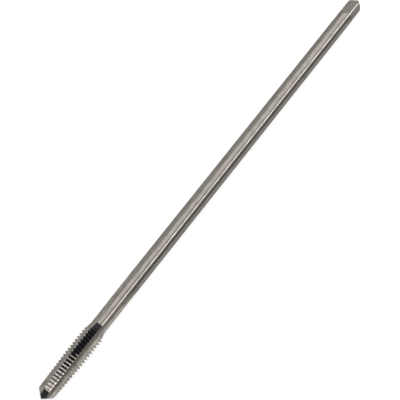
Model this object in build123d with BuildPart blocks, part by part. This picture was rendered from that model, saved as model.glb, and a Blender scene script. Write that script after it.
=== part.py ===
import os
from math import acos, atan2, ceil, cos, degrees, radians, sin, sqrt, tan

from build123d import *

# Long-shank straight-flute hand tap, M6 x 1, right-hand, ground from one bar of high-speed steel.
# It lies on its side: the axis is level and runs along X, the cutting end points to -X, the corners of
# two lands touch z = 0, and the third land is on top. Millimetres and degrees.

# Driving sizes
overall_length = 150.0
point_flat_diameter = 0.3      # tiny flat left on both male centres
thread_diameter = 6.0
thread_pitch = 1.0
thread_angle = 60.0            # included angle of the thread form
crest_flat_share = 1 / 8       # flat on a full crest, as a share of the pitch
root_flat_share = 1 / 8        # flat at the root, as a share of the pitch
thread_end = 21.2              # from the tip to the end of the full thread
tip_point_angle = 96.0         # included angle of the male centre at the cutting end
tip_blend_radius = 1.0         # rounding where the point runs into the lead
lead_front_diameter = 4.9
lead_length = 11.3             # tapered lead, behind the point
lead_relief = 0.15             # the lead is ground about an axis this far aside, so it falls away
shoulder_angle = 24.0          # slope of the shoulder behind the thread
shoulder_blend_radius = 5.0    # hollow blend from the shoulder into the shank
shank_diameter = 4.5
flat_count = 4
square_across_flats = 3.4
square_length = 6.0            # flats, from the shank's end
square_wheel_radius = 2.0      # hollow left where each flat starts
square_turn = 25.0             # from the top land's middle to the square's nearest corner
shank_point_angle = 90.0       # included angle of the male centre at the square end
flute_count = 3
land_angle = 42.0              # width of one land, seen along the axis
rake_angle = 12.0              # hook of the cutting face
core_diameter = 2.3            # web left between the flutes
flute_bottom_radius = 1.0
flute_full_length = 26.0       # flute at full depth, from the tip
flute_wheel_radius = 95.0      # grinding wheel that leaves the run-out of each flute
first_groove = 0.28            # middle of the first thread groove, behind the point
cutter_clearance = 0.5         # how far a cutter reaches past the metal that it leaves
cutter_margin = 8.0            # and how far round past each side of a land

# Radii, and stations along the axis from the tip
thread_radius = thread_diameter / 2
shank_radius = shank_diameter / 2
core_radius = core_diameter / 2
lead_front_radius = lead_front_diameter / 2
point_flat_radius = point_flat_diameter / 2
tip_point_length = (lead_front_radius - point_flat_radius) / tan(radians(tip_point_angle / 2))
shank_point_length = (shank_radius - point_flat_radius) / tan(radians(shank_point_angle / 2))
lead_end = tip_point_length + lead_length
shoulder_end = thread_end + (thread_radius - shank_radius) / tan(radians(shoulder_angle))

# The axis lies level, as high as the shank or the two lower lands need. Local z of axis_plane runs
# along the axis from the tip, its local x is +Y, and angles are measured from there towards +Z.
land_rest = thread_radius * cos(radians(180 / flute_count - land_angle / 2))
tip_place = (-overall_length / 2, 0, max(shank_radius, land_rest))
axis_plane = Plane(origin=tip_place, x_dir=(0, 1, 0), z_dir=(1, 0, 0))
profile_plane = Plane(origin=tip_place, x_dir=(1, 0, 0), z_dir=(0, -1, 0))
turning_axis = Axis(tip_place, (1, 0, 0))
top_angle = 90.0
land_step = 360 / flute_count

# Flute cutter, along its own Z, with the cutting edge at angle 0 and the metal of the land behind it
# at positive angles. The cutting face runs inwards from the edge, an arc tangent to it reaches down
# to the core, and the heel of the land in front is a line from that land's far corner, tangent to
# the arc. The cutter runs out of the metal as the wheel does, by turning about the wheel's axis.
rake = radians(rake_angle)
heel_turn = radians(land_step - land_angle)
face_direction = Vector(cos(rake), -sin(rake))
face_normal = Vector(-sin(rake), -cos(rake))
edge_corner = Vector(thread_radius, 0)
heel_corner = Vector(cos(heel_turn), -sin(heel_turn)) * thread_radius
bottom_reach = core_radius + flute_bottom_radius
bottom_offset = thread_radius * sin(rake) - flute_bottom_radius
face_length = thread_radius * cos(rake) - sqrt(bottom_reach**2 - bottom_offset**2)
face_foot = edge_corner - face_direction * face_length
bottom_centre = face_foot + face_normal * flute_bottom_radius
heel_reach = heel_corner - bottom_centre
heel_foot_angle = atan2(heel_reach.Y, heel_reach.X) - acos(flute_bottom_radius / heel_reach.length)
heel_foot = bottom_centre + Vector(cos(heel_foot_angle), sin(heel_foot_angle)) * flute_bottom_radius
heel_direction = (heel_corner - heel_foot).normalized()
bottom_direction = bottom_centre.normalized()
bottom_middle = bottom_direction * core_radius
outer_middle = Vector(cos(heel_turn / 2), -sin(heel_turn / 2)) * (thread_radius + 2 * cutter_clearance)
wheel_axis_place = bottom_direction * (core_radius + flute_wheel_radius)
wheel_axis_line = (-bottom_direction.Y, bottom_direction.X, 0)
wheel_rise = shank_radius - core_radius + cutter_clearance
wheel_turn = degrees(acos(1 - wheel_rise / flute_wheel_radius))

with BuildPart() as flute_cutter:
    with BuildSketch(Plane.XY.offset(-cutter_clearance)) as flute_section:
        with BuildLine():
            outer_start = edge_corner + face_direction * cutter_clearance
            outer_end = heel_corner + heel_direction * cutter_clearance
            Line(outer_start, face_foot)
            ThreePointArc(face_foot, bottom_middle, heel_foot)
            Line(heel_foot, outer_end)
            ThreePointArc(outer_end, outer_middle, outer_start)
        make_face()
    extrude(amount=cutter_clearance + flute_full_length)
    wheel_axis = Axis(wheel_axis_place + Vector(0, 0, flute_full_length), wheel_axis_line)
    revolve(
        flute_cutter.faces().sort_by(Axis.Z)[-1],
        axis=wheel_axis,
        revolution_arc=wheel_turn,
    )

# Cutter that backs off the lead of one land, along its own Z from the tip with the cutting edge at
# angle 0: the outside of a cone like the lead's, set aside so that every crest falls away from its
# cutting edge to its heel. It meets the full thread later at the heel than at the edge.
lead_slope = (thread_radius - lead_front_radius) / lead_length
relief_start = lead_front_radius - (tip_point_length + cutter_clearance) * lead_slope
relief_end = lead_end + cutter_clearance / lead_slope
land_cutter_turn = land_angle + 2 * cutter_margin

with BuildPart() as relief_cutter:
    with BuildSketch(Plane.XZ) as relief_section:
        with BuildLine():
            Polyline(
                (relief_start, -cutter_clearance),
                (thread_radius + cutter_clearance, relief_end),
                (thread_radius + cutter_clearance, -cutter_clearance),
                close=True,
            )
        make_face()
    revolve(axis=Axis.Z, revolution_arc=land_cutter_turn)

# Cutter for one of the flats of the square, along its own Z from the shank's end backwards.
flat_height = square_across_flats / 2
flat_cut_depth = shank_radius + cutter_clearance - flat_height
flat_runout_turn = degrees(acos(1 - flat_cut_depth / square_wheel_radius))

with BuildPart() as flat_cutter:
    with BuildSketch(Plane.XZ) as flat_section:
        with BuildLine():
            flat = Line((flat_height, cutter_clearance), (flat_height, -square_length))
            runout = JernArc(flat @ 1, flat % 1, square_wheel_radius, flat_runout_turn)
            Polyline(runout @ 1, ((runout @ 1).X, cutter_clearance), flat @ 0)
        make_face()
    extrude(amount=shank_diameter, both=True)

# Cutter for one thread groove across one land: the groove's section, a flat-bottomed vee, carried
# along the helix a little further than the land is wide.
root_half_width = root_flat_share * thread_pitch / 2
groove_slope = tan(radians(thread_angle / 2))
thread_depth = (1 - crest_flat_share - root_flat_share) * thread_pitch / 2 / groove_slope
root_radius = thread_radius - thread_depth
groove_reach = thread_depth + crest_flat_share * thread_pitch / 2
mouth_half_width = root_half_width + groove_reach * groove_slope

with BuildPart() as groove_cutter:
    with BuildLine() as groove_path:
        Helix(thread_pitch, thread_pitch * land_cutter_turn / 360, root_radius)
    groove_start = groove_path.line @ 0
    groove_plane = Plane(groove_start, x_dir=(1, 0, 0), z_dir=groove_path.line % 0)
    with BuildSketch(groove_plane):
        with BuildLine():
            Polyline(
                (0, -root_half_width),
                (groove_reach, -mouth_half_width),
                (groove_reach, mouth_half_width),
                (0, root_half_width),
                close=True,
            )
        make_face()
    sweep(path=groove_path.line, is_frenet=True)

# The blank, turned about the axis: point, tapered lead, full thread diameter, shoulder, shank, point
with BuildPart() as thread_tap:
    with BuildSketch(profile_plane) as blank:
        with BuildLine():
            Polyline(
                (0, 0),
                (0, point_flat_radius),
                (tip_point_length, lead_front_radius),
                (lead_end, thread_radius),
                (thread_end, thread_radius),
                (shoulder_end, shank_radius),
                (overall_length - shank_point_length, shank_radius),
                (overall_length, point_flat_radius),
                (overall_length, 0),
                close=True,
            )
        make_face()
        lead_corner = blank.vertices().sort_by_distance((tip_point_length, lead_front_radius))[0]
        fillet(lead_corner, tip_blend_radius)
        shoulder_foot = blank.vertices().sort_by_distance((shoulder_end, shank_radius))[0]
        fillet(shoulder_foot, shoulder_blend_radius)
    revolve(axis=turning_axis)

    # Behind each cutting edge the lead is backed off, and in front of each edge runs a flute
    edge_angle = top_angle - land_angle / 2
    with Locations(axis_plane):
        with Locations(Rotation(0, 0, edge_angle)):
            with PolarLocations(0, flute_count):
                with Locations(Location((0, -lead_relief, 0), (0, 0, -cutter_margin))):
                    add(relief_cutter.part, mode=Mode.SUBTRACT)
                add(flute_cutter.part, mode=Mode.SUBTRACT)

    # Thread grooves: one helix, cut land by land, so each land's grooves sit a part of the pitch on
    groove_count = ceil((shoulder_end - tip_point_length - first_groove) / thread_pitch)
    groove_lag = thread_pitch * land_cutter_turn / 2 / 360
    grooves = [
        Location((0, 0, first + turn * thread_pitch), (0, 0, start))
        for land in range(flute_count)
        for first in [tip_point_length + first_groove - groove_lag + land * thread_pitch / flute_count]
        for start in [top_angle - land_cutter_turn / 2 + land * land_step]
        for turn in range(groove_count)
    ]
    with Locations(axis_plane):
        with Locations(*grooves):
            add(groove_cutter.part, mode=Mode.SUBTRACT)

    # Square drive: four flats
    with Locations(axis_plane.offset(overall_length)):
        with Locations(Rotation(0, 0, top_angle + square_turn + 180 / flat_count)):
            with PolarLocations(0, flat_count):
                add(flat_cutter.part, mode=Mode.SUBTRACT)

thread_tap.part.label = "thread_tap"

os.makedirs("parts", exist_ok=True)
export_step(thread_tap.part, "parts/thread_tap.step")
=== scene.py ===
import math

import bpy
import numpy as np
from mathutils import Matrix, Vector


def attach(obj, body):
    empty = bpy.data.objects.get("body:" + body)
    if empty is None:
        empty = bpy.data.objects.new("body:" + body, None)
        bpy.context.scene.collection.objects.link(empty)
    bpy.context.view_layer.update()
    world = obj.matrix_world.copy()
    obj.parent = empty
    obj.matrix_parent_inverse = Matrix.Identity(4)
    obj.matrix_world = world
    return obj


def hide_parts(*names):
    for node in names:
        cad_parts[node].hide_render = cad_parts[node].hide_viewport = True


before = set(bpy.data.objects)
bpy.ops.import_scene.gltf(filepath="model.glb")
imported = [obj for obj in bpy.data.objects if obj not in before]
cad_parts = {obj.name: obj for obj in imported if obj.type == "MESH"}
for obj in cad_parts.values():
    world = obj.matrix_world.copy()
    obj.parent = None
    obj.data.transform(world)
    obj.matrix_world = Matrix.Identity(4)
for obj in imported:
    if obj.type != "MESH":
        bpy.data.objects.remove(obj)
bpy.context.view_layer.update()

# Sizes of the tap in millimetres and degrees, the same as in the CAD part.
tapSizes = {
    "length": 150.0,
    "pointFlat": 0.3,          # diameter of the flat left on both centres
    "threadDiameter": 6.0,
    "pitch": 1.0,
    "threadAngle": 60.0,       # between the two flanks
    "flatShare": 1 / 8,        # crest and root flat, as a share of the pitch
    "threadEnd": 21.2,
    "tipAngle": 96.0,
    "tipBlend": 1.0,
    "leadDiameter": 4.9,
    "leadLength": 11.3,
    "leadRelief": 0.15,        # the lead's cone is ground about an axis this far aside
    "shoulderAngle": 24.0,
    "shoulderBlend": 5.0,
    "shankDiameter": 4.5,
    "flats": 4,
    "squareFlats": 3.4,
    "squareLength": 6.0,
    "squareWheel": 2.0,
    "squareTurn": 25.0,        # from the top land's middle to the square's nearest corner
    "shankPointAngle": 90.0,
    "lands": 3,
    "landAngle": 42.0,
    "rake": 12.0,
    "core": 2.3,
    "fluteBottom": 1.0,        # radius at the bottom of the flute
    "fluteLength": 26.0,
    "fluteWheel": 95.0,
    "firstGroove": 0.28,
    "blackEnd": 24.0,          # where the black finish stops behind the thread
    "blackLeft": 1.0,          # at the end of the relief the crests keep their black over this length
    "darkPoint": 0.6,          # length of the dark end of the point behind the square
}

# The tap's finishes, in the order of the numbers that its faces carry: ground round the axis, black,
# the flutes, and the crests that the lead's relief has ground bright again.
finishOrder = ["ground_tool_steel", "black_oxide_steel", "fluted_tool_steel", "backed_off_tool_steel"]

# How finely the surface is laid out, with stations in millimetres from the tip.
tapGrid = {
    "fluteColumns": 24,
    "landColumns": 12,
    "rowsPerPitch": 12,        # a multiple of the number of lands
    "rootRows": (1, 11),       # of those, the ones on the edges of two roots next to each other
    "crestRows": (4, 8),       # and the ones on the two edges of the crest between them
    "pitches": 21,
    "joinRows": 6,             # rows that bring the rings of the tip into the lean of the thread
    "leaveRows": 3,            # and back again behind it
    "mouthRounds": 4,          # how often the width of a groove's mouth is worked out anew
    "cornerRounds": 5,         # and the place of a land's corner
    "curveSamples": 480,
    "arcSamples": 200,
    "curveSpare": 0.4,         # how far the flute's section goes on past both corners
    "cornerSteps": 16,
    "leastHalfWidth": 6.0,     # samples kept each side of the flute's bottom where it has run out
    "leastFlank": 0.03,        # room kept for the flank's rows where the blank is below the root
    "leastCut": 0.005,         # a flute shallower than this has run out
    "fluteStart": 0.86,        # the flutes cut the point from here
    "fluteEnd": 40.9,          # and have run out here
    "tipSpread": 0.8,          # length over which the columns spread evenly ahead of the flutes
    "shankSpread": 5.0,        # and behind them
    "gatherStart": 60.0,       # the columns gather on the square's flats from here
    "gatherLength": 70.0,
    "squareSide": 100.0,       # flats are cut only behind this station
    "flatEdgeColumns": 4,      # columns on each half of a rounded corner of the square
    "sharpAngle": 22.0,        # edges turning more than this stay sharp
}


def roundedCorner(before, corner, after, radius, steps):
    # Arc of the given radius tangent to both sides of a corner: it starts and ends at
    # radius * tan(half the turn) from the corner, its centre is radius / cos(half the turn) from it
    # along the line between the sides, and its points turn evenly from one end to the other.
    before, corner, after = (np.array(p, float) for p in (before, corner, after))
    inward = (before - corner) / np.linalg.norm(before - corner)
    outward = (after - corner) / np.linalg.norm(after - corner)
    turn = np.pi - np.arccos(np.clip(inward @ outward, -1, 1))
    reach = radius * np.tan(turn / 2)
    middle = (inward + outward) / np.linalg.norm(inward + outward)
    centre = corner + middle * radius / np.cos(turn / 2)
    start = corner + inward * reach - centre
    end = corner + outward * reach - centre
    share = np.linspace(0, 1, steps + 1)[:, None]
    return centre + (start * np.sin((1 - share) * turn) + end * np.sin(share * turn)) / np.sin(turn)


def tipLength(sizes):
    # Length of the point: half of what its diameter grows by, over the tangent of half its angle.
    return (sizes["leadDiameter"] - sizes["pointFlat"]) / 2 / math.tan(math.radians(sizes["tipAngle"] / 2))


def endLength(sizes):
    # The same for the point behind the square.
    growth = sizes["shankDiameter"] - sizes["pointFlat"]
    return growth / 2 / math.tan(math.radians(sizes["shankPointAngle"] / 2))


def blankOutline(sizes, steps):
    # Stations along the axis from the tip, and the radius of the turned blank at each of them: straight
    # from corner to corner, with an arc at the foot of the point and at the foot of the shoulder.
    thread, shank = sizes["threadDiameter"] / 2, sizes["shankDiameter"] / 2
    lead, flat = sizes["leadDiameter"] / 2, sizes["pointFlat"] / 2
    slope = math.tan(math.radians(sizes["shoulderAngle"]))
    tip, base = (0, flat), (tipLength(sizes), lead)
    top, brow = (tipLength(sizes) + sizes["leadLength"], thread), (sizes["threadEnd"], thread)
    foot = (sizes["threadEnd"] + (thread - shank) / slope, shank)
    back, end = (sizes["length"] - endLength(sizes), shank), (sizes["length"], flat)
    points = np.vstack([
        tip,
        roundedCorner(tip, base, top, sizes["tipBlend"], steps),
        top,
        brow,
        roundedCorner(brow, foot, back, sizes["shoulderBlend"], steps),
        back,
        end,
    ])
    return points[:, 0], points[:, 1]


def axisHeight(sizes):
    # The tap lies on the corners of two lands, or on its shank if that is thicker.
    corner = math.cos(math.radians(180 / sizes["lands"] - sizes["landAngle"] / 2))
    return max(sizes["shankDiameter"], sizes["threadDiameter"] * corner) / 2


def reliefRadius(sizes, x, turn):
    # The lead's cone about an axis set aside by e: from the tap's own axis its surface is at
    # -e sin(turn) + root of (cone radius squared - e cos(turn) squared), turn from the cutting edge.
    aside, lead = sizes["leadRelief"], sizes["leadDiameter"] / 2
    slope = (sizes["threadDiameter"] / 2 - lead) / sizes["leadLength"]
    cone = lead + (x - tipLength(sizes)) * slope
    angle = np.radians(turn)
    return np.sqrt(np.maximum(cone**2 - (aside * np.cos(angle)) ** 2, 0)) - aside * np.sin(angle)


def fluteCurve(sizes, grid):
    # Section of one flute with the cutting edge at angle 0: the cutting face runs in from the edge,
    # an arc tangent to it touches the core circle, and a line tangent to the arc climbs to the heel
    # of the land in front. Returned from heel to edge as distances across and along the direction
    # of the flute's bottom, evenly spaced, with the angle of that direction.
    radius, core, bottom = sizes["threadDiameter"] / 2, sizes["core"] / 2, sizes["fluteBottom"]
    rake = math.radians(sizes["rake"])
    heelTurn = math.radians(360 / sizes["lands"] - sizes["landAngle"])
    edge = np.array((radius, 0))
    heel = np.array((math.cos(heelTurn), -math.sin(heelTurn))) * radius
    faceOut = np.array((math.cos(rake), -math.sin(rake)))
    faceNormal = np.array((-math.sin(rake), -math.cos(rake)))
    offset = radius * math.sin(rake) - bottom
    faceLength = radius * math.cos(rake) - math.sqrt((core + bottom) ** 2 - offset**2)
    centre = edge - faceOut * faceLength + faceNormal * bottom
    reach = heel - centre
    heelFootAngle = math.atan2(reach[1], reach[0]) - math.acos(bottom / np.linalg.norm(reach))
    heelFoot = centre + np.array((math.cos(heelFootAngle), math.sin(heelFootAngle))) * bottom
    sweep = (heelFootAngle - math.atan2(-faceNormal[1], -faceNormal[0])) % (2 * math.pi)
    angles = heelFootAngle - np.linspace(0, 1, grid["arcSamples"]) * sweep
    arc = centre + bottom * np.column_stack((np.cos(angles), np.sin(angles)))
    heelOut = (heel - heelFoot) / np.linalg.norm(heel - heelFoot)
    line = np.vstack([heel + heelOut * grid["curveSpare"], arc, edge + faceOut * grid["curveSpare"]])
    along = np.concatenate(([0], np.cumsum(np.linalg.norm(np.diff(line, axis=0), axis=1))))
    even = np.linspace(0, along[-1], grid["curveSamples"] + 1)
    points = np.column_stack([np.interp(even, along, line[:, i]) for i in (0, 1)])
    bottomWay = centre / np.linalg.norm(centre)
    acrossWay = np.array((-bottomWay[1], bottomWay[0]))
    return points @ acrossWay, points @ bottomWay, math.degrees(math.atan2(bottomWay[1], bottomWay[0]))


def liftedFlute(sizes, depth, station):
    # Behind its full length the flute rises as the grinding wheel leaves the metal: a point at a
    # given depth turns about the wheel's axis, so its height is that axis less the root of its
    # distance to it squared less the distance behind the full length squared.
    axis = sizes["core"] / 2 + sizes["fluteWheel"]
    behind = np.maximum(station - sizes["fluteLength"], 0)
    return axis - np.sqrt(np.maximum((axis - depth) ** 2 - behind**2, 0))


def spacedOut(spacing, end):
    # Stations from each start up to the next one, as far apart as the spacing given with it says.
    stops = [start for start, _ in spacing[1:]] + [end]
    return np.concatenate([np.arange(start, stop, gap) for (start, gap), stop in zip(spacing, stops)])


def plainRows(sizes):
    # Stations of the rings ahead of the thread and behind it, as starts with the spacing from there
    # on. They lie close together on the tip's rounding, where the flutes run out, where the flats
    # start and where these meet the point, which gets a few more up to the very end.
    roundingStart, roundingEnd, cone = 0.86, 1.74, (0, 0.02, 0.08, 0.2, 0.35, 0.5, 0.65, 0.78)
    tip = np.concatenate([cone, spacedOut([(roundingStart, 0.04)], roundingEnd)])
    square, point = sizes["length"] - sizes["squareLength"], sizes["length"] - endLength(sizes)
    shank = [(24.8, 0.3), (26, 0.4), (39.4, 0.08), (41, 0.6), (47, 3.0), (square - 4, 0.4)]
    drive = [(square - 1.6, 0.06), (square, 0.5), (point - 0.1, 0.05)]
    pointRest, pointRings = point + 0.7, 8
    rest = np.linspace(pointRest, sizes["length"], pointRings)
    behind = np.concatenate([spacedOut(shank + drive, pointRest), rest])
    return tip, np.unique(behind.round(6))


def threadRows(sizes, grid):
    # The rows of the thread, set for each land to its own grooves: the middle of the groove that a
    # row follows, its place in the pitch, and whether the groove beside it is there, as none is cut
    # ahead of the first. From one land to the next the helix goes on by a third of the pitch, and the
    # rows with it.
    perPitch, lands = grid["rowsPerPitch"], sizes["lands"]
    row = np.arange(grid["pitches"] * perPitch + 1)[:, None]
    land = np.arange(lands)[None, :]
    count = row - perPitch // lands * land
    groove, place = count // perPitch, count % perPitch
    middle = tipLength(sizes) + sizes["firstGroove"] + (groove + land / lands) * sizes["pitch"]
    beside = np.where(place > grid["crestRows"][0], groove + 1, groove)
    return middle, place, beside >= 0


def layRows(sizes, grid, rows, blankRadius, turn):
    # Station and radius of every row where it passes each land at an angle from the cutting edge.
    # Row 0 of a pitch is in the middle of the root, others are on the edges of the root's flat and of
    # the crest, half a groove's mouth from the middles of the roots, and the rest lie evenly between.
    # In a groove the radius is the root's, and grows by the distance from the root's flat over the
    # tangent of half the thread's angle.
    pitch, place = sizes["pitch"], rows["place"][..., None]
    rootEdge, nextRoot = grid["rootRows"]
    crestEdge, crestFar = grid["crestRows"]
    flat = sizes["flatShare"] * pitch / 2
    slope = math.tan(math.radians(sizes["threadAngle"] / 2))
    rootRadius = sizes["threadDiameter"] / 2 - (pitch / 2 - 2 * flat) / slope
    isOpen = rows["open"][..., None]
    x = rows["station"][..., None] + rows["lean"][..., None] * (turn - sizes["landAngle"] / 2)

    def surface(x):
        return np.minimum(blankRadius(x), reliefRadius(sizes, x, turn))

    def mouth(middle, way):
        # Half its width: half the root's flat, and the groove's depth where it ends times that tangent.
        half = np.full(middle.shape, flat)
        for _ in range(grid["mouthRounds"]):
            half = flat + np.maximum((surface(middle + way * half) - rootRadius) * slope, grid["leastFlank"])
        return half

    marks = (0, rootEdge, crestEdge, crestFar, nextRoot)
    offset = (pitch * np.interp(place, marks, (0, 0, 0, 1, 1))
              + flat * np.interp(place, marks, (0, 1, 0, 0, -1))
              + mouth(x, 1) * np.interp(place, marks, (0, 0, 1, 0, 0))
              - mouth(x + pitch, -1) * np.interp(place, marks, (0, 0, 0, 1, 0)))
    offset = np.where(place < 0, 0, offset)
    away = np.minimum(offset, pitch - offset)
    groove = rootRadius + np.maximum(away - flat, 0) / slope
    inGroove = isOpen & ((place < crestEdge) | (place > crestFar))
    top = surface(x + offset)
    return x + offset, np.where(inGroove, np.minimum(groove, top), top)


def gatherRows(sizes, grid, blankRadius):
    # All rows from tip to end. The plain rings run straight round, the thread's rows lean with the
    # helix by a pitch in a full turn, and the rows between them bring one into the other by even steps.
    lands = sizes["lands"]
    middle, place, isOpen = threadRows(sizes, grid)
    thread = {"station": middle, "place": place, "open": isOpen, "lean": np.zeros((len(middle), 1))}
    landMiddle = np.full((len(middle), lands, 1), sizes["landAngle"] / 2)
    station, _ = layRows(sizes, grid, thread, blankRadius, landMiddle)
    tip, behind = plainRows(sizes)
    tip, behind = (np.repeat(part[:, None], lands, 1) for part in (tip, behind))
    joinShare = np.linspace(0, 1, grid["joinRows"] + 2)[1:-1, None]
    leaveShare = np.linspace(0, 1, grid["leaveRows"] + 2)[1:-1, None]
    join = tip[-1:] * (1 - joinShare) + station[0, :, 0] * joinShare
    leave = station[-1, :, 0] * (1 - leaveShare) + behind[:1] * leaveShare
    parts = [tip, join, middle, leave, behind]
    isThread = np.concatenate([np.full(len(part), part is middle) for part in parts])
    leans = [0 * tip[:, :1], joinShare, np.ones((len(middle), 1)), 1 - leaveShare, 0 * behind[:, :1]]
    count = len(isThread)
    rows = {
        "station": np.vstack(parts),
        "place": np.full((count, lands), -1),
        "open": np.zeros((count, lands), bool),
        "lean": np.vstack(leans) * sizes["pitch"] / 360,
    }
    rows["place"][isThread] = place
    rows["open"][isThread] = isOpen
    return rows


def fluteCorner(sizes, grid, rows, blankRadius, curve, side):
    # Where the flute's curve reaches the land's surface in every row: side 1 is the cutting edge of
    # the land behind the flute, side -1 the heel of the land in front. The angle and the place on
    # the curve depend on each other through the helix, so they are found by turns. Each crossing
    # lies between the last sample inside and the first outside, as far on as the radii say.
    across, depth, bottomAngle = curve
    sample = np.arange(len(across))
    fluteBase = 0 if side > 0 else 360 / sizes["lands"]
    turn = np.full(rows["station"].shape, 0.0 if side > 0 else sizes["landAngle"])
    for _ in range(grid["cornerRounds"]):
        x, limit = layRows(sizes, grid, rows, blankRadius, turn[..., None])
        reach = np.hypot(across, liftedFlute(sizes, depth, x))
        lowest = reach.argmin(-1)[..., None]
        onSide = (sample - lowest) * side >= 0
        outside = ((reach > limit) & onSide).sum(-1, keepdims=True)
        cross = np.clip(len(sample) - outside if side > 0 else outside, 1, len(sample) - 1)
        before = np.take_along_axis(reach, cross - 1, -1)
        after = np.take_along_axis(reach, cross, -1)
        at = cross - 1 + np.clip((limit - before) / np.where(after == before, 1, after - before), 0, 1)
        spare = grid["leastHalfWidth"]
        at = np.maximum(at, lowest + spare) if side > 0 else np.minimum(at, lowest - spare)
        height = liftedFlute(sizes, np.interp(at, sample, depth), x)
        width = np.interp(at, sample, across)
        turn = (fluteBase + bottomAngle + np.degrees(np.arctan2(width, height)))[..., 0]
    return {"at": at, "x": x, "turn": turn, "lowest": reach.min(-1), "radius": np.hypot(width, height)}


def squareColumns(sizes, grid, station, columns, firstAngle, blankRadius):
    # Angles of the columns round the square and the radius of its flats: in each quarter a few
    # columns lie on the rounded corner and the rest on the flat, from one end of its chord to the
    # other. Where a flat starts, its height follows the wheel that ground it.
    arcColumns = grid["flatEdgeColumns"]
    leastHalf = 4.0            # degrees that each half of a flat keeps where it has run out
    clearOfBlank = 99.0        # height of a flat where none is ground
    flats = sizes["flats"]
    quarter, span = columns // flats, 360 / flats
    normal = 90 + sizes["squareTurn"] + span / 2
    place = np.arange(columns) - int(round((normal - span / 2 - firstAngle) / (360 / columns)))
    inQuarter = place % quarter
    flatColumns = quarter - 2 * arcColumns
    wheel, flatHeight = sizes["squareWheel"], sizes["squareFlats"] / 2
    behind = np.maximum(sizes["length"] - sizes["squareLength"] - station, 0)
    rise = wheel - np.sqrt(np.maximum(wheel**2 - behind**2, 0))
    height = np.where(behind < wheel, flatHeight + rise, clearOfBlank)
    half = np.degrees(np.arccos(np.clip(height / blankRadius(station), -1, 1)))
    half = np.maximum(half, leastHalf)
    share = np.clip((inQuarter - arcColumns) / flatColumns, 0, 1)
    before = np.clip(inQuarter / arcColumns, 0, 1)
    after = np.clip((inQuarter - arcColumns - flatColumns) / arcColumns, 0, 1)
    local = -span / 2 + (span / 2 - half) * (before + after) + 2 * half * share
    return normal + span * (place // quarter) + local, height / np.cos(np.radians(local))


def fluteCells(sizes, grid, blankRadius, curve, edge, heel):
    # Stations, angles and radii in the flutes, from the heel of the land in front to the cutting
    # edge behind: evenly along the flute's curve between those two corners.
    across, depth, bottomAngle = curve
    sample = np.arange(len(across))
    share = np.arange(grid["fluteColumns"]) / grid["fluteColumns"]
    at = np.roll(heel["at"], 1, 1) * (1 - share) + edge["at"] * share
    x = np.roll(heel["x"], 1, 1) * (1 - share) + edge["x"] * share
    height = liftedFlute(sizes, np.interp(at, sample, depth), x)
    width = np.interp(at, sample, across)
    turn = bottomAngle + np.degrees(np.arctan2(width, height))
    return x, turn, np.minimum(np.hypot(width, height), blankRadius(x))


def landCells(sizes, grid, rows, blankRadius, edge, heel):
    # The same on the lands, evenly round from the cutting edge to the heel.
    share = np.arange(grid["landColumns"]) / grid["landColumns"]
    turn = edge["turn"][..., None] * (1 - share) + heel["turn"][..., None] * share
    x, radius = layRows(sizes, grid, rows, blankRadius, turn)
    radius[..., :1] = np.minimum(radius[..., :1], edge["radius"])
    return x, turn, radius


def spreadColumns(sizes, grid, station, turn, radius, bottomAngle, blankRadius):
    # Where no flute cuts the blank the columns spread evenly round it, and along the shank they
    # gather on the flats of the square. Each share goes from 0 to 1 over its stated length.
    columns = turn.shape[1]
    spacing = 360 / columns
    firstAngle = 90 - sizes["landAngle"] / 2 + bottomAngle - spacing * grid["fluteColumns"] / 2
    even = firstAngle + np.arange(columns) * spacing
    tipShare = np.clip((grid["fluteStart"] - station) / grid["tipSpread"], 0, 1)
    shankShare = np.clip((station - grid["fluteEnd"]) / grid["shankSpread"], 0, 1)
    evenShare = tipShare + shankShare
    turn = turn * (1 - evenShare) + even * evenShare
    squareTurn, flatRadius = squareColumns(sizes, grid, station, columns, firstAngle, blankRadius)
    squareShare = np.clip((station - grid["gatherStart"]) / grid["gatherLength"], 0, 1)
    turn = turn * (1 - squareShare) + squareTurn * squareShare
    return turn, np.where(station > grid["squareSide"], np.minimum(radius, flatRadius), radius)


def cellFinish(sizes, grid, rows, blankRadius, x, turn, landStart, lowest):
    # Finish number of each cell. The thread, the tip and the end of the rear point are black, a crest
    # is bright where the relief's cone lies inside the blank, and a flute where it cuts the blank.
    ground, black, flute, backed = range(len(finishOrder))
    cellX = (x[:-1] + x[1:]) / 2
    perLand = grid["fluteColumns"] + grid["landColumns"]
    inFlute = np.tile(np.arange(perLand) < grid["fluteColumns"], sizes["lands"])
    place = np.repeat(rows["place"][:-1], perLand, 1)
    lowest = np.repeat(lowest[:-1], perLand, 1)
    fromEdge = turn[:-1] - np.repeat(landStart[..., 0], perLand, 1)
    ahead = cellX + sizes["blackLeft"]
    backedOff = (reliefRadius(sizes, ahead, fromEdge) < blankRadius(ahead)) & (cellX > tipLength(sizes))
    crest = (place < 0) | (place >= grid["crestRows"][0]) & (place < grid["crestRows"][1])
    isBlack = (cellX < sizes["blackEnd"]) | (cellX > sizes["length"] - sizes["darkPoint"])
    finish = np.where(isBlack, black, ground)
    finish = np.where(crest & backedOff & ~inFlute, backed, finish)
    return np.where(inFlute & (lowest < blankRadius(cellX) - grid["leastCut"]), flute, finish)


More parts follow.
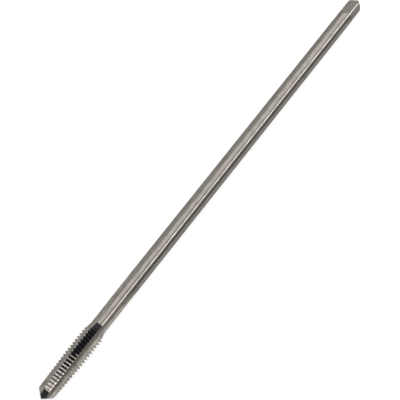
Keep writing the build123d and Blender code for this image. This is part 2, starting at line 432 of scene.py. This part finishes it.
def tapSurface(sizes, grid):
    # The whole tap as one closed grid: rows along the axis, columns round it. On each land the rows
    # follow the helix, in the flutes the columns follow the section of the flute, and each corner
    # between the two is where the flute's curve reaches the surface of the land in that row.
    stations, radii = blankOutline(sizes, grid["cornerSteps"])

    def blankRadius(x):
        return np.interp(x, stations, radii)

    curve = fluteCurve(sizes, grid)
    rows = gatherRows(sizes, grid, blankRadius)
    edge = fluteCorner(sizes, grid, rows, blankRadius, curve, 1)
    heel = fluteCorner(sizes, grid, rows, blankRadius, curve, -1)
    flutes = fluteCells(sizes, grid, blankRadius, curve, edge, heel)
    lands = landCells(sizes, grid, rows, blankRadius, edge, heel)
    landStart = 90 - sizes["landAngle"] / 2 + 360 / sizes["lands"] * np.arange(sizes["lands"])[None, :, None]
    x, turn, radius = (np.concatenate(pair, 2) for pair in zip(flutes, lands))
    x, turn, radius = (part.reshape(len(x), -1) for part in (x, turn + landStart, radius))
    turn, radius = spreadColumns(sizes, grid, rows["station"][:, :1], turn, radius, curve[2], blankRadius)
    lowest = np.minimum(edge["lowest"], np.roll(heel["lowest"], 1, 1))
    finish = cellFinish(sizes, grid, rows, blankRadius, x, turn, landStart, lowest)
    angle = np.radians(turn)
    points = (x - sizes["length"] / 2, radius * np.cos(angle), radius * np.sin(angle) + axisHeight(sizes))
    return np.stack(points, -1), finish


def closedGrid(points, ends):
    # One quad to each cell of the grid and a fan of triangles from a pole to each end ring.
    rows, columns = points.shape[:2]
    index = np.arange(rows * columns).reshape(rows, columns)
    ahead = np.roll(index, -1, 1)
    quads = np.stack([index[:-1], ahead[:-1], ahead[1:], index[1:]], -1).reshape(-1, 4)
    firstFan = np.stack([np.full(columns, rows * columns), ahead[0], index[0]], -1)
    lastFan = np.stack([np.full(columns, rows * columns + 1), index[-1], ahead[-1]], -1)
    return np.vstack([points.reshape(-1, 3), ends]), quads.tolist() + firstFan.tolist() + lastFan.tolist()


def makeTap(sizes, grid):
    # The mesh of the tap in metres, closed by a black pole at each end, with a finish number to each
    # face: the surface's own points, and half the tap's length each way for the poles.
    points, finish = tapSurface(sizes, grid)
    half = sizes["length"] / 2
    vertices, faces = closedGrid(points, [(-half, 0, axisHeight(sizes)), (half, 0, axisHeight(sizes))])
    mesh = bpy.data.meshes.new("tap")
    mesh.from_pydata((vertices / 1000).tolist(), [], faces)
    fans = np.full(2 * points.shape[1], finishOrder.index("black_oxide_steel"))
    finish = np.concatenate([finish.ravel(), fans])
    mesh.polygons.foreach_set("material_index", finish)
    mesh.polygons.foreach_set("use_smooth", np.ones(len(finish), bool))
    mesh.update()
    mesh.set_sharp_from_angle(angle=math.radians(grid["sharpAngle"]))
    tap = bpy.data.objects.new("tap_body", mesh)
    bpy.context.scene.collection.objects.link(tap)
    return tap


tap = makeTap(tapSizes, tapGrid)
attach(tap, "root")
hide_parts("thread_tap")
print("tap surface:", len(tap.data.polygons), "faces")


def linearColour(hexText):
    # sRGB to linear: each pair of hex digits over 255, then the standard curve.
    value = np.array([int(hexText[i:i + 2], 16) for i in (1, 3, 5)]) / 255
    linear = np.where(value <= 0.04045, value / 12.92, ((value + 0.055) / 1.055) ** 2.4)
    return (*linear.tolist(), 1.0)


def addNode(tree, kind, settings=(), inputs=()):
    # One node with its settings, and each input either linked to another node's output or given a value.
    node = tree.nodes.new(kind)
    for name, value in dict(settings).items():
        setattr(node, name, value)
    for name, value in dict(inputs).items():
        if isinstance(value, bpy.types.NodeSocket):
            tree.links.new(value, node.inputs[name])
        else:
            node.inputs[name].default_value = value
    return node


def newMaterial(name):
    # A material on nodes, with its tree and its shader.
    material = bpy.data.materials.new(name)
    material.use_nodes = True
    return material, material.node_tree, material.node_tree.nodes["Principled BSDF"]


# Looks of the four finishes. Grain is the size in millimetres of the wheel's marks along the axis and
# across it: short along and long across gives rings round the axis, the other way gives lengthwise
# lines. Real ones are a few hundredths wide, and these are as coarse as they need to be to show.
# Patches are the larger, softer marks that handling and oil leave, given in the same way, with their
# share in the mix of the two. Relief is in millimetres, and spread draws highlights out across the
# marks. The black layer's grain and scuffs are sizes in millimetres too.
finishes = {
    "ground_tool_steel": {
        "colour": "#8A857F", "dark": "#6E6A65", "edge": "#B0B0B0", "roughness": (0.2, 0.3),
        "spread": 0.5, "grain": (0.09, 9.0), "patches": (3.0, 0.9), "patchShare": 0.6, "relief": 0.0001,
    },
    "fluted_tool_steel": {
        "colour": "#9F9A92", "dark": "#6A655F", "edge": "#B0B0B0", "roughness": (0.48, 0.62),
        "spread": 0.0, "grain": (6.0, 0.25), "patches": (2.0, 0.7), "patchShare": 0.6, "relief": 0.003,
    },
    "backed_off_tool_steel": {
        "colour": "#AAA39D", "dark": "#706B67", "edge": "#D0D0D0", "roughness": (0.26, 0.38),
        "spread": 0.3, "grain": (0.12, 3.0), "patches": (0.5, 0.5), "patchShare": 0.6, "relief": 0.0008,
    },
    "black_oxide_steel": {
        "colour": "#050507", "thin": "#0F0F16", "scuffed": "#4A4A50", "roughness": (0.36, 0.5),
        "gloss": 0.19, "grain": 0.35, "scuffs": 0.16, "scuffRange": (0.66, 0.74),
    },
}


def noiseOf(tree, sizesInMm, detail):
    # Object coordinates are in metres, so marks of a given size in mm need a scale of 1000 over it.
    place = addNode(tree, "ShaderNodeTexCoord").outputs["Object"]
    scale = [1000 / size for size in sizesInMm]
    marks = addNode(tree, "ShaderNodeMapping", inputs={"Vector": place, "Scale": scale})
    settings = {"Vector": marks.outputs["Vector"], "Scale": 1.0, "Detail": detail}
    return addNode(tree, "ShaderNodeTexNoise", inputs=settings).outputs["Fac"]


def spreadOver(tree, value, low, high, start=0.32, stop=0.68):
    # The noise stays mostly between 0.32 and 0.68, and that part is laid out from low to high.
    limits = {"Value": value, "From Min": start, "From Max": stop, "To Min": low, "To Max": high}
    return addNode(tree, "ShaderNodeMapRange", inputs=limits).outputs["Result"]


def blend(tree, share, first, second):
    # Sockets 0, 6 and 7 are the share and the two colours, each a hex colour or another node's output.
    colours = [linearColour(colour) if isinstance(colour, str) else colour for colour in (first, second)]
    mix = addNode(tree, "ShaderNodeMix", {"data_type": "RGBA"}, {0: share, 6: colours[0], 7: colours[1]})
    return mix.outputs[2]


def groundMetal(name, look):
    # Bare steel as the grinding wheel left it: fine marks one way, so that highlights are crisp along
    # the marks and drawn out square to them, a little darker where the marks are deep or oil lies.
    material, tree, shader = newMaterial(name)
    along, across = look["grain"]
    marks = noiseOf(tree, (along, across, across), detail=4.0)
    along, across = look["patches"]
    patches = noiseOf(tree, (along, across, across), detail=3.0)
    shares = {0: look["patchShare"], 2: marks, 3: patches}
    both = addNode(tree, "ShaderNodeMix", {"data_type": "FLOAT"}, shares).outputs[0]
    colour = blend(tree, spreadOver(tree, both, 0, 1), look["dark"], look["colour"])
    tree.links.new(colour, shader.inputs["Base Color"])
    tree.links.new(spreadOver(tree, both, *reversed(look["roughness"])), shader.inputs["Roughness"])
    settings = {"Height": marks, "Distance": look["relief"] / 1000, "Strength": 1.0}
    bump = addNode(tree, "ShaderNodeBump", inputs=settings)
    tree.links.new(bump.outputs["Normal"], shader.inputs["Normal"])
    shader.inputs["Metallic"].default_value = 1.0
    shader.inputs["Specular Tint"].default_value = linearColour(look["edge"])
    if look["spread"]:
        roundAxis = addNode(tree, "ShaderNodeTangent", {"direction_type": "RADIAL", "axis": "X"})
        tree.links.new(roundAxis.outputs["Tangent"], shader.inputs["Tangent"])
        shader.inputs["Anisotropic"].default_value = look["spread"]
        shader.inputs["Anisotropic Rotation"].default_value = 0.25      # a quarter turn: along the axis
    return material


def blackOxide(name, look):
    # Thin black layer of iron oxide, oiled: deep and satin, a little bluer where it is thin, with a
    # few tiny scuffs down to the grey, where the noise is at its highest.
    material, tree, shader = newMaterial(name)
    clouds = noiseOf(tree, (look["grain"],) * 3, detail=3.0)
    specks = noiseOf(tree, (look["scuffs"],) * 3, detail=2.0)
    scuffs = spreadOver(tree, specks, 0, 1, *look["scuffRange"])
    layer = blend(tree, spreadOver(tree, clouds, 0, 1), look["colour"], look["thin"])
    tree.links.new(blend(tree, scuffs, layer, look["scuffed"]), shader.inputs["Base Color"])
    tree.links.new(spreadOver(tree, clouds, *look["roughness"]), shader.inputs["Roughness"])
    shader.inputs["Specular IOR Level"].default_value = look["gloss"]
    return material


for name in finishOrder:
    make = blackOxide if name == "black_oxide_steel" else groundMetal
    tap.data.materials.append(make(name, finishes[name]))
print("materials:", len(tap.data.materials))

# Floor: opal acrylic lit from below, which leaves only a soft shadow where the tap touches it. Half
# its width in metres, and a glow where white is 1.
floorLook = {"colour": "#929292", "roughness": 0.9, "glow": 0.71, "reach": 3.0}


def makeFloor(look):
    # One square at height 0, with the middle of the tap over its middle.
    reach = look["reach"]
    mesh = bpy.data.meshes.new("floor")
    corners = [(-reach, -reach, 0), (reach, -reach, 0), (reach, reach, 0), (-reach, reach, 0)]
    mesh.from_pydata(corners, [], [(0, 1, 2, 3)])
    material, tree, shader = newMaterial("opal_acrylic_light_table")
    shader.inputs["Base Color"].default_value = linearColour(look["colour"])
    shader.inputs["Roughness"].default_value = look["roughness"]
    shader.inputs["Emission Color"].default_value = (1, 1, 1, 1)
    shader.inputs["Emission Strength"].default_value = look["glow"]
    mesh.materials.append(material)
    table = bpy.data.objects.new("floor", mesh)
    bpy.context.scene.collection.objects.link(table)
    return table


floor = makeFloor(floorLook)
print("floor:", floorLook["reach"] * 2, "m wide")

# Camera: leans off the vertical across the tap and towards its cutting end.
cameraView = {
    "lens": 111.15,
    "sensor": 36,              # width in millimetres
    "clip": (0.01, 10),        # what the camera sees, in metres from it
    "distance": 338.89,        # from the tap's axis, along the line of sight
    "tilt": 20.61,             # towards the cutting end
    "lean": 12.0,              # towards -Y
    "station": 69.20,          # point of the axis in the middle of the view, from the tip
    "offset": 0.121,           # the middle of the view passes this far beside the axis
    "axisRise": 51.47,         # angle of the axis in the view, above the horizontal
}


def placeCamera(view, sizes):
    # The line of sight leaves the tap tilted along it and leaning across it, and the view turns about
    # that line until the axis, as seen, rises at its own angle. The aim is a point of the axis, moved
    # square to it by the offset.
    tilt, lean = math.radians(view["tilt"]), math.radians(view["lean"])
    back = Vector((-math.sin(tilt), -math.cos(tilt) * math.sin(lean), math.cos(tilt) * math.cos(lean)))
    along = Vector((1, 0, 0))
    along = (along - back * along.dot(back)).normalized()
    beside = along.cross(back)
    rise = math.radians(view["axisRise"])
    right = along * math.cos(rise) + beside * math.sin(rise)
    up = along * math.sin(rise) - beside * math.cos(rise)
    aim = Vector((view["station"] - sizes["length"] / 2, 0, axisHeight(sizes))) + beside * view["offset"]
    camera = bpy.data.objects.new("camera", bpy.data.cameras.new("camera"))
    bpy.context.scene.collection.objects.link(camera)
    turn = Matrix((right, up, back)).transposed().to_4x4()
    camera.matrix_world = Matrix.Translation((aim + back * view["distance"]) / 1000) @ turn
    camera.data.lens = view["lens"]
    camera.data.sensor_width = view["sensor"]
    camera.data.clip_start, camera.data.clip_end = view["clip"]
    bpy.context.scene.camera = camera
    return camera


camera = placeCamera(cameraView, tapSizes)
print("camera:", cameraView["distance"], "mm from the axis")

# Light: an even surround, and panels that each face the tap from an angle off the vertical, across the
# tap towards -Y and along it towards the shank's end. Metres, degrees, and radiance where a white that
# just burns out is 1. The strip gives the shank its bright line, the overhead its broad pale band.
surround = 0.34
panels = {
    "overhead": {"across": -13, "along": 18, "distance": 1.1, "length": 1.6, "width": 1.0, "radiance": 1.85},
    "strip": {"across": 36.5, "along": 18, "distance": 1.2, "length": 1.8, "width": 0.3, "radiance": 4.6},
    "side": {"across": -63, "along": 10, "distance": 1.2, "length": 1.8, "width": 1.0, "radiance": 0.7},
    "front": {"across": 0, "along": -48, "distance": 1.3, "length": 1.4, "width": 2.0, "radiance": 0.7},
    "fill": {"across": 58, "along": -45, "distance": 1.3, "length": 1.2, "width": 1.2, "radiance": 0.6},
    "back": {"across": -10, "along": 72, "distance": 1.3, "length": 0.7, "width": 2.0, "radiance": 1.1},
}


def lightWorld(strength):
    # White from all round, and colours shown as they are, without a film curve.
    world = bpy.data.worlds.new("studio")
    world.use_nodes = True
    background = world.node_tree.nodes["Background"]
    background.inputs["Color"].default_value = (1, 1, 1, 1)
    background.inputs["Strength"].default_value = strength
    bpy.context.scene.world = world
    bpy.context.scene.view_settings.view_transform = "Standard"


def softbox(name, panel):
    # The panel turns about the tap with its stand. Its power is radiance * pi * area.
    lamp = bpy.data.objects.new(name, bpy.data.lights.new(name, "AREA"))
    lamp.data.shape = "RECTANGLE"
    lamp.data.size, lamp.data.size_y = panel["length"], panel["width"]
    lamp.data.energy = panel["radiance"] * math.pi * panel["length"] * panel["width"]
    across = Matrix.Rotation(math.radians(panel["across"]), 4, "X")
    along = Matrix.Rotation(math.radians(panel["along"]), 4, "Y")
    lamp.matrix_world = across @ along @ Matrix.Translation((0, 0, panel["distance"]))
    bpy.context.scene.collection.objects.link(lamp)


lightWorld(surround)
for name, panel in panels.items():
    softbox(name, panel)
print("lights:", len(panels), "panels and the surround")
